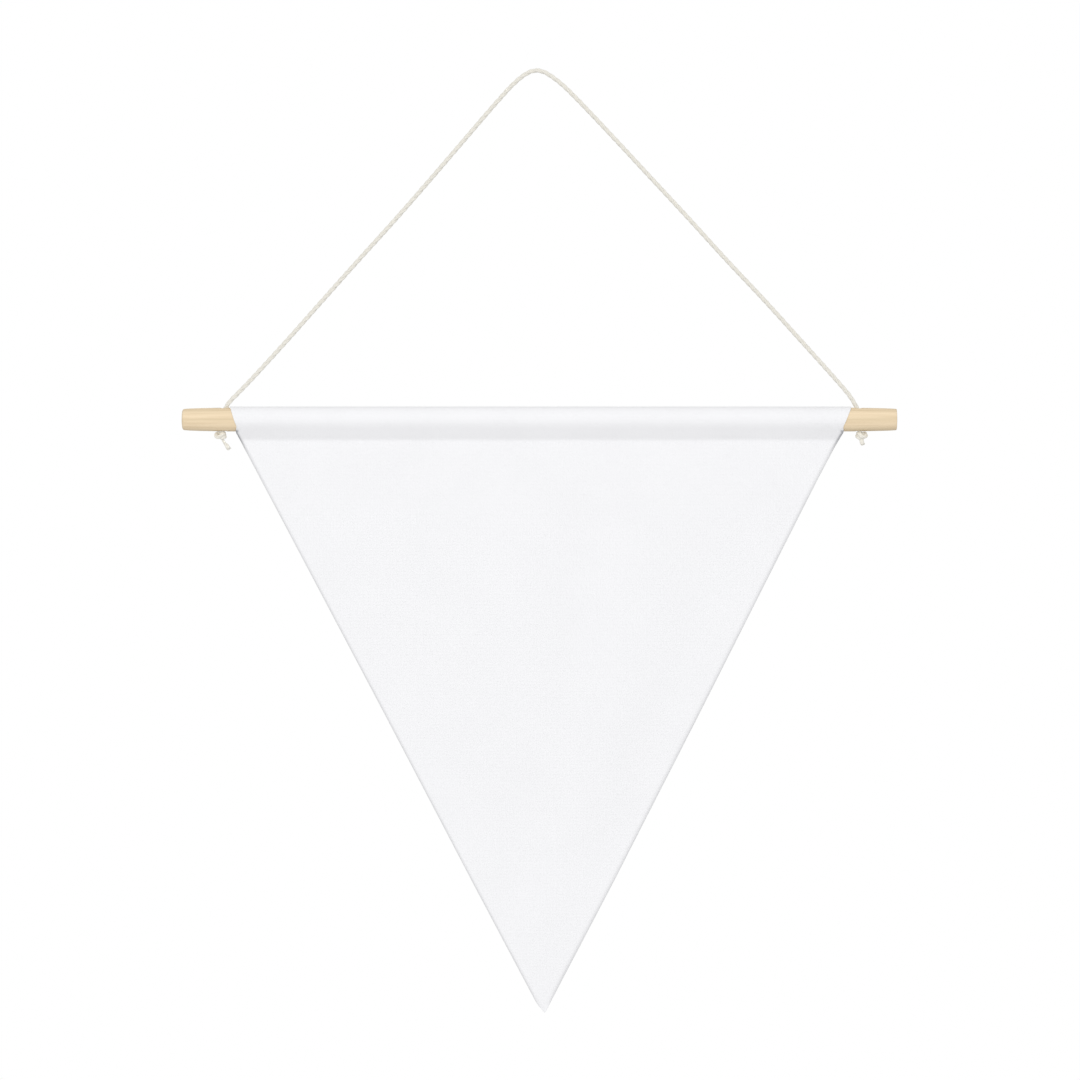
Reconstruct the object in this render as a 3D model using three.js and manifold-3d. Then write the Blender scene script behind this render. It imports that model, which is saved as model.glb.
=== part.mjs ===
// A blank pennant flag. Its sleeve is threaded on a round wooden dowel, which hangs from a looped cord.
// Millimetres. +X is to the right as seen from the front, -Y is towards the viewer and +Z is up.
// The origin is the point that the loop of cord hangs on, the underside of its top.

import * as THREE from "three";
import { mergeVertices } from "three/addons/utils/BufferGeometryUtils.js";
import Module from "manifold-3d";

const wasm = await Module();
wasm.setup();

// Dowel: its axis runs along X, this far below the hanging point and to the right of it.
const DOWEL_LENGTH = 300;
const DOWEL_RADIUS = 5;
const DOWEL_DROP = 145.6;
const DOWEL_SHIFT = 1.2;
const DOWEL_SIDES = 32;

// The sanded ends: the radius at each distance in from the end.
const END_ROWS = [
  { inset: 0, radius: 3.6 },
  { inset: 0.6, radius: 4.35 },
  { inset: 3, radius: 4.65 },
  { inset: 18, radius: DOWEL_RADIUS },
];

// Holes for the cord, drilled upright. Their upper mouths widen so that they don't cut the cord.
const LEFT_HOLE_X = -132.5;
const RIGHT_HOLE_X = 134.1;
const HOLE_RADIUS = 1.8;
const HOLE_SIDES = 16;
const MOUTH_START = 3.8;
const MOUTH_SPREAD = 0.62;
const DRILL_HALF = 7;

// Cloth: one sheet, turned over the dowel and sewn to its own back below it.
const CLOTH_THICKNESS = 1;
const GAP = 0.3;
const SEAM_DROP = 8.2;
const HEM_DROP = 15;
const SLEEVE_STEPS = 18;
const ROW_HEIGHT = 7;
const COLUMNS = 20;

// The cut outline: where the side edges stand at each drop below the dowel's axis. The straight
// sides end at the row counted by SIDES_END, and the rows after it round the tip.
const OUTLINE = [
  { drop: -6.4, left: -129.1, right: 130.6 },
  { drop: 5, left: -126.7, right: 127.6 },
  { drop: 12, left: -124.0, right: 123.5 },
  { drop: 243.8, left: -2.4, right: 5.1 },
  { drop: 246.4, left: 0.0, right: 4.1 },
  { drop: 248.0, left: 1.0, right: 3.0 },
  { drop: 248.6, left: 1.5, right: 2.5 },
];
const SIDES_END = 3;
const SIDES_END_DROP = OUTLINE[SIDES_END].drop;
const TIP_DROP = OUTLINE[OUTLINE.length - 1].drop;

// Soft unevenness of the hanging cloth. Each wave starts at x and leans with the drop.
const WAVES = [
  { x: -104, lean: 0.42, width: 17, bulge: 0.9 },
  { x: -76, lean: 0.3, width: 15, bulge: -1.0 },
  { x: -34, lean: 0.12, width: 24, bulge: 1.0 },
  { x: 22, lean: -0.06, width: 22, bulge: -0.8 },
  { x: 66, lean: -0.26, width: 19, bulge: 1.0 },
  { x: 98, lean: -0.38, width: 15, bulge: -1.0 },
];
const WAVE_START = 11;
const WAVE_FULL = 75;
const TIP_CURL = 2.6;
const CURL_START = 165;

// Cord: the middle of its route, given from the dowel's middle as across and up.
const CORD_RADIUS = 1;
const CORD_SIDES = 8;
const STEPS_A_POINT = 2;
const CORD_ROUTE = [
  [-133.0, -4.9],
  [-132.9, -1.6],
  [-132.6, 1.2],
  [-132.3, 3.4],
  [-131.6, 5.1],
  [-130.6, 6.7],
  [-129.3, 8.3],
  [-127.6, 10.0],
  [-121.2, 16.6],
  [-106.0, 33.2],
  [-90.9, 50.2],
  [-75.9, 67.0],
  [-60.7, 83.8],
  [-46.0, 100.6],
  [-31.6, 117.4],
  [-17.1, 134.2],
  [-10.9, 140.9],
  [-6.6, 144.5],
  [-3.7, 146.1],
  [-1.2, 146.6],
  [1.8, 146.0],
  [4.8, 144.3],
  [9.3, 140.9],
  [16.2, 134.2],
  [32.1, 117.4],
  [47.7, 100.6],
  [63.3, 83.8],
  [78.6, 67.0],
  [94.4, 50.2],
  [109.8, 33.2],
  [124.7, 16.6],
  [130.3, 10.0],
  [131.4, 8.3],
  [132.4, 6.7],
  [133.2, 5.1],
  [133.8, 3.4],
  [134.2, 1.2],
  [134.5, -1.6],
  [134.6, -4.9],
];

// Overhand knot, pulled tight. The route is seen from its own middle as across, back and up: in at
// the top, round the right side and behind, across the front, then down through its own loop.
const KNOT_RADIUS = 0.95;
const KNOT_PIECES = 6;
const PIECE_STEPS = 4;
const PIECE_OVERLAP = 0.3;
const KNOT_DROP = 6.75;
const LEFT_KNOT_X = -133.9;
const RIGHT_KNOT_X = 135.35;
const KNOT_ROUTE = [
  [0.8, 0.0, 1.55],
  [0.7, 0.05, 0.9],
  [0.3, 0.1, 0.1],
  [0.4, -0.15, -0.7],
  [1.2, -0.25, -0.75],
  [1.7, 0.2, -0.2],
  [1.2, 1.0, 0.35],
  [-0.1, 1.2, 0.4],
  [-1.3, 0.8, 0.2],
  [-1.7, -0.2, -0.1],
  [-1.0, -1.1, -0.2],
  [0.2, -1.2, 0.1],
  [1.0, -0.5, 0.1],
  [0.7, 0.4, -0.8],
];

// The middle of the knot, where its turns are squeezed together.
const KNOT_CORE = { x: 0, y: 0, z: -0.1, across: 1.7, back: 1.3, up: 1.2 };

const LUMP_SIDES = 12;
const LUMP_RINGS = 8;

// The free ends below the knots. The left one is frayed and swells, the right one is cut blunt.
const LEFT_TAIL = [
  [0.8, 0.3, -1.7],
  [1.5, 0.1, -2.8],
  [2.5, 0.0, -4.1],
  [3.5, 0.0, -5.2],
];
const RIGHT_TAIL = [
  [-0.2, 0.3, -1.6],
  [0.1, 0.2, -2.5],
  [0.5, 0.1, -3.3],
  [1.0, 0.0, -4.2],
];
const LEFT_TAIL_RADIUS = 0.6;
const RIGHT_TAIL_RADIUS = 0.95;
const FRAYED_END = { x: 3.3, y: 0, z: -4.9, across: 0.9, back: 0.9, up: 1.35, lean: 0.7 };

const COTTON_CORD = { color: 0xe9e4d6, roughness: 0.95, metalness: 0 };
const WOVEN_CLOTH = { color: 0xf6f6f8, roughness: 0.9, metalness: 0 };
const PALE_WOOD = { color: 0xe6d6bb, roughness: 0.6, metalness: 0 };

// Turns a closed geometry into a solid that can be cut and joined.
function solidOf(geometry) {
  const bare = geometry.clone();
  bare.deleteAttribute("normal");
  bare.deleteAttribute("uv");
  const merged = mergeVertices(bare, 1e-4);
  const mesh = new wasm.Mesh({
    numProp: 3,
    vertProperties: merged.attributes.position.array,
    triVerts: new Uint32Array(merged.index.array),
  });
  return new wasm.Manifold(mesh);
}

// Turns a solid back into a geometry.
function geometryOf(solid) {
  const mesh = solid.getMesh();
  const geometry = new THREE.BufferGeometry();
  geometry.setAttribute("position", new THREE.BufferAttribute(mesh.vertProperties, 3));
  geometry.setIndex(new THREE.BufferAttribute(mesh.triVerts, 1));
  geometry.computeVertexNormals();
  return geometry;
}

function join(solids) {
  return solids.reduce((whole, next) => whole.add(next));
}

// A curve through chosen points whose steps are as close together as its points are.
class ChosenRoute extends THREE.CatmullRomCurve3 {
  getUtoTmapping(u) {
    return u;
  }
}

// The section of a cord, with a flat side down.
function roundSection(radius) {
  const section = new THREE.Shape();
  for (let i = 0; i < CORD_SIDES; i++) {
    const turn = (2 * Math.PI * (i + 0.5)) / CORD_SIDES;
    const x = radius * Math.cos(turn);
    const y = radius * Math.sin(turn);
    if (i === 0) section.moveTo(x, y);
    else section.lineTo(x, y);
  }
  section.closePath();
  return section;
}

function tubeAlong(points, radius, steps) {
  const path = new ChosenRoute(points, false, "centripetal");
  return new THREE.ExtrudeGeometry(roundSection(radius), { steps, extrudePath: path });
}

// A value read from a table's rows at a given drop, in straight lines between them.
function valueAt(rows, drop, column) {
  const next = rows.findIndex((row) => row.drop >= drop);
  if (next < 0) return rows[rows.length - 1][column];
  if (next === 0) return rows[0][column];
  const above = rows[next - 1];
  const below = rows[next];
  const share = (drop - above.drop) / (below.drop - above.drop);
  return above[column] + share * (below[column] - above[column]);
}

// How far the cloth stands towards the viewer at a point of its panel.
function bulgeAt(x, drop) {
  const fade = THREE.MathUtils.smoothstep(drop, WAVE_START, WAVE_FULL);
  const curl = TIP_CURL * THREE.MathUtils.smoothstep(drop, CURL_START, TIP_DROP);
  let sum = 0;
  for (const wave of WAVES) {
    const away = (x - wave.x - wave.lean * drop) / wave.width;
    sum += wave.bulge * Math.exp(-away * away);
  }
  return fade * sum + curl;
}

// The part of a loop of cloth that lies round the dowel, from its back over the top to its front.
function overDowel(radius, pinch) {
  const from = Math.acos((DOWEL_RADIUS + GAP) / pinch);
  const points = [];
  for (let i = 0; i <= SLEEVE_STEPS; i++) {
    const turn = from + ((2 * Math.PI - 2 * from) * i) / SLEEVE_STEPS;
    points.push(new THREE.Vector2(radius * Math.sin(turn), -radius * Math.cos(turn)));
  }
  return points;
}

// The drops of the panel's rows of points, from below the hem to the tip.
function panelDrops() {
  const height = SIDES_END_DROP - HEM_DROP;
  const rows = Math.round(height / ROW_HEIGHT);
  const drops = [];
  for (let i = 1; i <= rows; i++) {
    drops.push(HEM_DROP + (height * i) / rows);
  }
  return drops.concat(OUTLINE.slice(SIDES_END + 1).map((row) => row.drop));
}

// The cloth seen from its side edge: back is +x and up is +y. The pocket for the dowel is a hole in it.
function clothSection() {
  const slope = Math.asin((DOWEL_RADIUS + GAP) / SEAM_DROP);
  const lower = Math.sin(slope) - Math.cos(slope) * Math.tan(slope / 2);
  const fold = SEAM_DROP + CLOTH_THICKNESS * lower;
  const drops = panelDrops();
  const back = [...drops].reverse().map((drop) => new THREE.Vector2(0, -drop));
  const front = drops.map((drop) => new THREE.Vector2(-CLOTH_THICKNESS, -drop));
  const outer = [
    ...back,
    new THREE.Vector2(0, -HEM_DROP),
    new THREE.Vector2(CLOTH_THICKNESS, -HEM_DROP),
    new THREE.Vector2(CLOTH_THICKNESS, -fold),
    ...overDowel(DOWEL_RADIUS + GAP + CLOTH_THICKNESS, SEAM_DROP),
    new THREE.Vector2(-CLOTH_THICKNESS, -fold),
    new THREE.Vector2(-CLOTH_THICKNESS, -HEM_DROP),
    ...front,
  ];
  const section = new THREE.Shape(outer);
  const pocket = [new THREE.Vector2(0, -SEAM_DROP), ...overDowel(DOWEL_RADIUS + GAP, SEAM_DROP)];
  section.holes.push(new THREE.Path(pocket));
  return section;
}

function flagGeometry() {
  const settings = { depth: 1, steps: COLUMNS, bevelEnabled: false };
  const geometry = new THREE.ExtrudeGeometry(clothSection(), settings);
  const position = geometry.attributes.position;
  for (let i = 0; i < position.count; i++) {
    const drop = -position.getY(i);
    const left = valueAt(OUTLINE, drop, "left");
    const right = valueAt(OUTLINE, drop, "right");
    const x = left + position.getZ(i) * (right - left);
    position.setXYZ(i, x, position.getX(i) - bulgeAt(x, drop), -drop);
  }
  return geometryOf(solidOf(geometry));
}

// What the drill takes away at one end of the dowel.
function drillGeometry(x) {
  const wide = HOLE_RADIUS + (DRILL_HALF - MOUTH_START) * MOUTH_SPREAD;
  const profile = [
    new THREE.Vector2(0, -DRILL_HALF),
    new THREE.Vector2(HOLE_RADIUS, -DRILL_HALF),
    new THREE.Vector2(HOLE_RADIUS, MOUTH_START),
    new THREE.Vector2(wide, DRILL_HALF),
    new THREE.Vector2(0, DRILL_HALF),
  ];
  return new THREE.LatheGeometry(profile, HOLE_SIDES).rotateX(Math.PI / 2).translate(x, 0, 0);
}

function dowelGeometry() {
  const half = DOWEL_LENGTH / 2;
  const firstEnd = END_ROWS.map((row) => new THREE.Vector2(row.radius, row.inset - half));
  const lastEnd = [...END_ROWS].reverse().map((row) => new THREE.Vector2(row.radius, half - row.inset));
  const profile = [new THREE.Vector2(0, -half), ...firstEnd, ...lastEnd, new THREE.Vector2(0, half)];
  const stick = new THREE.LatheGeometry(profile, DOWEL_SIDES).rotateZ(-Math.PI / 2);
  const holes = [LEFT_HOLE_X, RIGHT_HOLE_X].map((x) => solidOf(drillGeometry(x)));
  return geometryOf(solidOf(stick).subtract(join(holes)));
}

function cordGeometry() {
  const points = CORD_ROUTE.map(([across, up]) => new THREE.Vector3(across, 0, up));
  return tubeAlong(points, CORD_RADIUS, STEPS_A_POINT * (points.length - 1));
}

// The strand of a knot crosses itself, so it is made in short pieces that are joined.
function strandSolids(points, radius, pieces) {
  const route = new THREE.CatmullRomCurve3(points, false, "centripetal");
  const solids = [];
  for (let i = 0; i < pieces; i++) {
    const from = Math.max(0, (i - PIECE_OVERLAP / 2) / pieces);
    const to = Math.min(1, (i + 1 + PIECE_OVERLAP / 2) / pieces);
    const stops = [];
    for (let k = 0; k <= PIECE_STEPS; k++) {
      stops.push(route.getPointAt(from + ((to - from) * k) / PIECE_STEPS));
    }
    solids.push(solidOf(tubeAlong(stops, radius, PIECE_STEPS)));
  }
  return solids;
}

// A ball stretched along each axis and leaning to one side.
function lump({ x, y, z, across, back, up, lean = 0 }) {
  const ball = new THREE.SphereGeometry(1, LUMP_SIDES, LUMP_RINGS);
  ball.scale(across, back, up).rotateY(-lean).translate(x, y, z);
  return solidOf(ball);
}

// A knot with its free end. The mirror is 1 or -1, and extra holds more solids of the same cord.
function knotGeometry(mirror, tail, tailRadius, extra) {
  const turns = KNOT_ROUTE.map(([x, y, z]) => new THREE.Vector3(mirror * x, y, z));
  const start = turns[turns.length - 1];
  const end = [start, ...tail.map(([x, y, z]) => new THREE.Vector3(x, y, z))];
  const strand = strandSolids(turns, KNOT_RADIUS, KNOT_PIECES);
  const whole = join([lump(KNOT_CORE), ...strand, ...strandSolids(end, tailRadius, 1), ...extra]);
  return geometryOf(whole);
}

function addPiece(group, name, geometry, finish, x = 0, z = 0) {
  const mesh = new THREE.Mesh(geometry, new THREE.MeshStandardMaterial(finish));
  mesh.name = name;
  mesh.position.set(x, 0, z);
  group.add(mesh);
}

function makeBanner() {
  const hanging = new THREE.Group();
  hanging.position.set(DOWEL_SHIFT, 0, -DOWEL_DROP);
  addPiece(hanging, "dowel", dowelGeometry(), PALE_WOOD);
  addPiece(hanging, "flag", flagGeometry(), WOVEN_CLOTH);
  addPiece(hanging, "cord", cordGeometry(), COTTON_CORD);
  const leftKnot = knotGeometry(1, LEFT_TAIL, LEFT_TAIL_RADIUS, [lump(FRAYED_END)]);
  const rightKnot = knotGeometry(-1, RIGHT_TAIL, RIGHT_TAIL_RADIUS, []);
  addPiece(hanging, "knot_left", leftKnot, COTTON_CORD, LEFT_KNOT_X, -KNOT_DROP);
  addPiece(hanging, "knot_right", rightKnot, COTTON_CORD, RIGHT_KNOT_X, -KNOT_DROP);
  const banner = new THREE.Group();
  banner.add(hanging);
  return banner;
}

export default makeBanner();
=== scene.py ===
from math import acos, atan2, cos, exp, hypot, inf, pi, sin, sqrt

import bpy
from bpy.props import FloatProperty, FloatVectorProperty, IntProperty, PointerProperty
from mathutils import Matrix, Vector, noise


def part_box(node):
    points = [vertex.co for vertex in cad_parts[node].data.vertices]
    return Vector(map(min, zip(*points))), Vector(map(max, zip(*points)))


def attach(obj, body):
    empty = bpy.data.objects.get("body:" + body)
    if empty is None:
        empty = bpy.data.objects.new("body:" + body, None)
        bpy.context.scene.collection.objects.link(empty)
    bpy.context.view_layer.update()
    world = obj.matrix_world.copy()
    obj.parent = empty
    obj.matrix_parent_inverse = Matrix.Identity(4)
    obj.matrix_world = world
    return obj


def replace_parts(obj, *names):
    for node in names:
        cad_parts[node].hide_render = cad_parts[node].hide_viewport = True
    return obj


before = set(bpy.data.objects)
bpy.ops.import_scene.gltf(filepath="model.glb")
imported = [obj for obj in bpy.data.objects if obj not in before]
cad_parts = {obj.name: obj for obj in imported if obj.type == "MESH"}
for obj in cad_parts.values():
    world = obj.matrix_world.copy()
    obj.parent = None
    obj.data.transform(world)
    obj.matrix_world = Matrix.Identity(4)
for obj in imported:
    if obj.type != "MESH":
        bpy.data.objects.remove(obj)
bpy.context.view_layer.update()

bl_info = {
    "name": "Pennant flag on a dowel",
    "version": (1, 0, 0),
    "blender": (4, 5, 0),
    "location": "3D View > Sidebar > Pennant",
    "description": "Builds a blank pennant flag with its dowel and hanging cord",
    "category": "Object",
}

MM = 0.001

# The dowel's place and size come from the frame. All sizes below are in metres unless they say mm.
DOWEL_LOW, DOWEL_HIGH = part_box("dowel")
DOWEL_MIDDLE = (DOWEL_LOW + DOWEL_HIGH) / 2
DOWEL_RADIUS = (DOWEL_HIGH.z - DOWEL_LOW.z) / 2
DOWEL_HALF = (DOWEL_HIGH.x - DOWEL_LOW.x) / 2

# Cord route in mm from the dowel's middle, across and up, the same as that of the solid.
CORD_ROUTE = [
    (-133.0, -4.9), (-132.9, -1.6), (-132.6, 1.2), (-132.3, 3.4), (-131.6, 5.1), (-130.6, 6.7),
    (-129.3, 8.3), (-127.6, 10.0), (-121.2, 16.6), (-106.0, 33.2), (-90.9, 50.2), (-75.9, 67.0),
    (-60.7, 83.8), (-46.0, 100.6), (-31.6, 117.4), (-17.1, 134.2), (-10.9, 140.9), (-6.6, 144.5),
    (-3.7, 146.1), (-1.2, 146.6), (1.8, 146.0), (4.8, 144.3), (9.3, 140.9), (16.2, 134.2),
    (32.1, 117.4), (47.7, 100.6), (63.3, 83.8), (78.6, 67.0), (94.4, 50.2), (109.8, 33.2),
    (124.7, 16.6), (130.3, 10.0), (131.4, 8.3), (132.4, 6.7), (133.2, 5.1), (133.8, 3.4),
    (134.2, 1.2), (134.5, -1.6), (134.6, -4.9),
]

# The left knot's route in mm from its own middle, across, back and up: the cord comes down from
# the hole, turns under itself to the right, goes once round behind and in front, and is tucked in.
KNOT_ROUTE = [
    (0.8, 0.0, 1.25), (0.35, 0.2, 0.45), (-0.1, 0.15, -0.4), (0.4, -0.35, -0.9), (1.3, -0.5, -0.7),
    (1.75, 0.25, -0.25), (1.2, 1.1, 0.3), (-0.1, 1.25, 0.75), (-1.3, 0.8, 0.8), (-1.75, -0.1, 0.2),
    (-1.15, -1.0, -0.55), (0.1, -1.35, -0.15), (1.15, -1.0, 0.7), (1.5, 0.0, 0.8), (1.1, 0.5, -0.3),
]
KNOT_DROP = 6.75 * MM

# What differs between the two knots, in mm: place across, mirrored or not, the tail's route and
# length, the thickness of the tail's neck as a share, and the fibres that fray from its cut end.
KNOTS = {
    "left": {
        "x": -133.9, "mirror": 1, "tail_length": 6.2, "neck": 0.6, "fibre": 1.05, "spread": 0.4,
        "tail": [(0.85, 0.35, -1.4), (1.4, 0.15, -2.6), (2.4, 0.0, -4.0), (3.6, 0.0, -5.6)],
        "seed": 3,
    },
    "right": {
        "x": 135.35, "mirror": -1, "tail_length": 3.2, "neck": 0.95, "fibre": 0.9, "spread": 0.2,
        "tail": [(-0.2, 0.35, -1.4), (0.0, 0.2, -2.2), (0.25, 0.1, -3.0), (0.6, 0.0, -3.8)],
        "seed": 8,
    },
}

# The cloth's cut outline in mm: where its side edges stand at each drop below the dowel's axis.
OUTLINE = [
    (-5.8, -130.0, 131.2), (3.4, -127.0, 127.4), (5.2, -127.5, 127.8), (12.0, -124.0, 123.85),
    (25.6, -116.8, 116.65), (126.4, -63.6, 65.8), (193.6, -28.45, 31.5), (243.8, -1.75, 5.05),
    (245.7, -0.5, 4.15), (247.4, 0.9, 3.25), (248.2, 1.45, 2.8), (248.7, 2.0, 2.4),
]
# The rows of the outline that count only in front, where the sleeve ends in a small step.
FRONT_ONLY = (1, 2)
SEAM_DROP = 8.2 * MM
HEM_DROP = 15 * MM
TIP_DROP = OUTLINE[-1][0] * MM

# Soft unevenness of the hanging cloth in mm: start across, lean with the drop, width, bulge. It
# grows between the two drops of WAVE_DROPS, and the tip curls forward a little.
WAVES = [
    (-104, 0.42, 17, 0.9), (-76, 0.3, 15, -1.0), (-34, 0.12, 24, 1.0),
    (22, -0.06, 22, -0.8), (66, -0.26, 19, 1.0), (98, -0.38, 15, -1.0),
]
WAVE_DROPS = (11 * MM, 75 * MM)
TIP_CURL = 2.6 * MM
CURL_START = 165 * MM


# Colours, nodes and meshes

def linear(hex_code):
    """An sRGB hex colour as linear red, green and blue."""
    values = [int(hex_code[i:i + 2], 16) / 255 for i in (0, 2, 4)]
    return tuple(v / 12.92 if v <= 0.04045 else ((v + 0.055) / 1.055) ** 2.4 for v in values)


def add_node(tree, kind, inputs=(), **settings):
    """Adds a node with its inputs, in order or by name or number, and its settings. An input is a
    value, a socket to link, or a node, of which the first output is linked. The stops of a colour
    ramp are pairs of place and colour."""
    made = tree.nodes.new(kind)
    for name, value in settings.items():
        if name == "stops":
            elements = made.color_ramp.elements
            while len(elements) < len(value):
                elements.new(0.5)
            for element, (place, colour) in zip(elements, value):
                element.position = place
                element.color = (*colour, 1)
        else:
            setattr(made, name, value)
    for key, value in inputs.items() if isinstance(inputs, dict) else enumerate(inputs):
        if isinstance(value, bpy.types.Node):
            value = value.outputs[0]
        if isinstance(value, bpy.types.NodeSocket):
            tree.links.new(value, made.inputs[key])
        else:
            made.inputs[key].default_value = value
    return made


def new_material(name, add_shader, *given):
    """A new material with the shader that add_shader adds to its emptied node tree."""
    material = bpy.data.materials.new(name)
    material.use_nodes = True
    tree = material.node_tree
    tree.nodes.clear()
    add_node(tree, "ShaderNodeOutputMaterial", {"Surface": add_shader(tree, *given)})
    return material


def new_mesh(name, points, faces, smooth=True):
    """A mesh from points and faces."""
    mesh = bpy.data.meshes.new(name)
    mesh.from_pydata(points, [], faces)
    mesh.polygons.foreach_set("use_smooth", [smooth] * len(faces))
    mesh.update()
    return mesh


def tube_faces(first, rings, sides):
    """The faces of a closed tube, whose rings of points follow one another from the first point."""
    faces = []
    for i in range(rings - 1):
        for k in range(sides):
            a, b = first + i * sides + k, first + i * sides + (k + 1) % sides
            faces.append((a, b, b + sides, a + sides))
    last = first + (rings - 1) * sides
    faces.append(tuple(first + k for k in reversed(range(sides))))
    faces.append(tuple(last + k for k in range(sides)))
    return faces


def new_object(name, data):
    """An object of this data, linked to the scene."""
    made = bpy.data.objects.new(name, data)
    bpy.context.scene.collection.objects.link(made)
    return made


def new_piece(name, mesh, material):
    """A finished mesh as one piece that rides on the part's only body."""
    mesh.materials.clear()
    mesh.materials.append(material)
    piece = new_object(name, mesh)
    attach(piece, "root")
    return piece


def settled_mesh(helper, name):
    """The mesh that a helper object's modifiers make, as plain data. The helper is removed."""
    bpy.context.view_layer.update()
    depsgraph = bpy.context.evaluated_depsgraph_get()
    mesh = bpy.data.meshes.new_from_object(helper.evaluated_get(depsgraph), depsgraph=depsgraph)
    mesh.name = name
    bpy.data.objects.remove(helper, do_unlink=True)
    return mesh


def grown_mesh(name, start, add_copies, inputs, material):
    """The mesh that geometry nodes grow from a starting mesh. add_copies adds the nodes that place
    the copies, and inputs gives each of the group's named inputs its value."""
    tree = bpy.data.node_groups.new(name, "GeometryNodeTree")
    tree.interface.new_socket(name="Geometry", in_out="INPUT", socket_type="NodeSocketGeometry")
    values = {}
    for label, value in inputs.items():
        kind = "NodeSocketInt" if isinstance(value, int) else "NodeSocketFloat"
        socket = tree.interface.new_socket(name=label, in_out="INPUT", socket_type=kind)
        socket.default_value = value
        values[socket.identifier] = value
    tree.interface.new_socket(name="Geometry", in_out="OUTPUT", socket_type="NodeSocketGeometry")
    copies = add_copies(tree, add_node(tree, "NodeGroupInput").outputs)
    real = add_node(tree, "GeometryNodeRealizeInstances", (copies,))
    finished = add_node(tree, "GeometryNodeSetMaterial", {"Geometry": real, "Material": material})
    add_node(tree, "NodeGroupOutput", (finished,))
    helper = new_object(name, start)
    growth = helper.modifiers.new(name, "NODES")
    growth.node_group = tree
    for identifier, value in values.items():
        growth[identifier] = value
    return settled_mesh(helper, name)


# Curves

def catmull(points, steps):
    """A smooth centripetal curve through points, with the same number of steps in each span."""
    points = [Vector(p) for p in points]
    ends = [2 * points[0] - points[1], *points, 2 * points[-1] - points[-2]]
    made = []
    for i in range(1, len(ends) - 2):
        p0, p1, p2, p3 = ends[i - 1:i + 3]
        d0, d1, d2 = [(b - a).length ** 0.5 for a, b in ((p0, p1), (p1, p2), (p2, p3))]
        t1 = ((p1 - p0) / d0 - (p2 - p0) / (d0 + d1) + (p2 - p1) / d1) * d1
        t2 = ((p2 - p1) / d1 - (p3 - p1) / (d1 + d2) + (p3 - p2) / d2) * d1
        for k in range(steps):
            t = k / steps
            c2 = -3 * p1 + 3 * p2 - 2 * t1 - t2
            c3 = 2 * p1 - 2 * p2 + t1 + t2
            made.append(p1 + t1 * t + c2 * t ** 2 + c3 * t ** 3)
    return made + [points[-1]]


def lengths_along(points):
    """The length of the line up to each of its points."""
    lengths = [0.0]
    for a, b in zip(points, points[1:]):
        lengths.append(lengths[-1] + (b - a).length)
    return lengths


def even_steps(points, spacing):
    """The same line with points an equal distance apart, and its length."""
    lengths = lengths_along(points)
    count = max(2, round(lengths[-1] / spacing))
    made = []
    j = 0
    for i in range(count + 1):
        at = lengths[-1] * i / count
        while j < len(points) - 2 and lengths[j + 1] < at:
            j += 1
        share = (at - lengths[j]) / (lengths[j + 1] - lengths[j])
        made.append(points[j].lerp(points[j + 1], share))
    return made, lengths[-1]


def frames_along(points):
    """For each point, two directions square to the line that don't turn about it. The first side
    is the part's back, so that two lines that meet have the same start."""
    tangents = []
    for i in range(len(points)):
        before, after = points[max(i - 1, 0)], points[min(i + 1, len(points) - 1)]
        tangents.append((after - before).normalized())
    side = Vector((0, 1, 0))
    made = []
    for tangent in tangents:
        side = (side - tangent * side.dot(tangent)).normalized()
        made.append((side, tangent.cross(side)))
    return made


def smooth(value, low, high):
    """0 up to low, 1 from high on, eased in between."""
    t = min(1, max(0, (value - low) / (high - low)))
    return t * t * (3 - 2 * t)


# Settings

class PennantStage(bpy.types.PropertyGroup):
    distance: FloatProperty(
        name="Camera distance", description="From the camera to the cloth", default=2.0,
        unit="LENGTH")
    frame_width: FloatProperty(
        name="Frame width", description="Width of the view at the cloth", default=0.4536,
        unit="LENGTH")
    aim_x: FloatProperty(
        name="Aim across", description="Middle of the view, right of the hanging point",
        default=1.47 * MM, unit="LENGTH")
    aim_drop: FloatProperty(
        name="Aim drop", description="Middle of the view, below the hanging point",
        default=196.2 * MM, unit="LENGTH")
    surround: FloatProperty(
        name="Surround", description="Strength of the even light of the white room", default=0.7)
    softbox: FloatProperty(
        name="Softbox", description="Power of the softbox in front, in watts", default=24.4)
    fill: FloatProperty(
        name="Fill", description="Power of the weaker softbox behind, in watts", default=12.0)


class PennantCord(bpy.types.PropertyGroup):
    diameter: FloatProperty(
        name="Diameter", description="Thickness over the three strands", default=1.92 * MM,
        unit="LENGTH")
    lay: FloatProperty(
        name="Lay", description="Length in which a strand goes once round the cord",
        default=9.6 * MM, unit="LENGTH")
    strands: IntProperty(name="Strands", description="Strands twisted together", default=3)
    colour: FloatVectorProperty(
        name="Colour", description="Undyed cotton", subtype="COLOR", default=linear("F5F2E9"))


class PennantDowel(bpy.types.PropertyGroup):
    ring_spacing: FloatProperty(
        name="Ring spacing", description="Width of one growth ring", default=4.2 * MM, unit="LENGTH")
    light: FloatVectorProperty(
        name="Light wood", description="Early wood", subtype="COLOR", default=linear("F3DEBD"))
    dark: FloatVectorProperty(
        name="Dark wood", description="Late wood", subtype="COLOR", default=linear("E4D0AE"))


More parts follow.
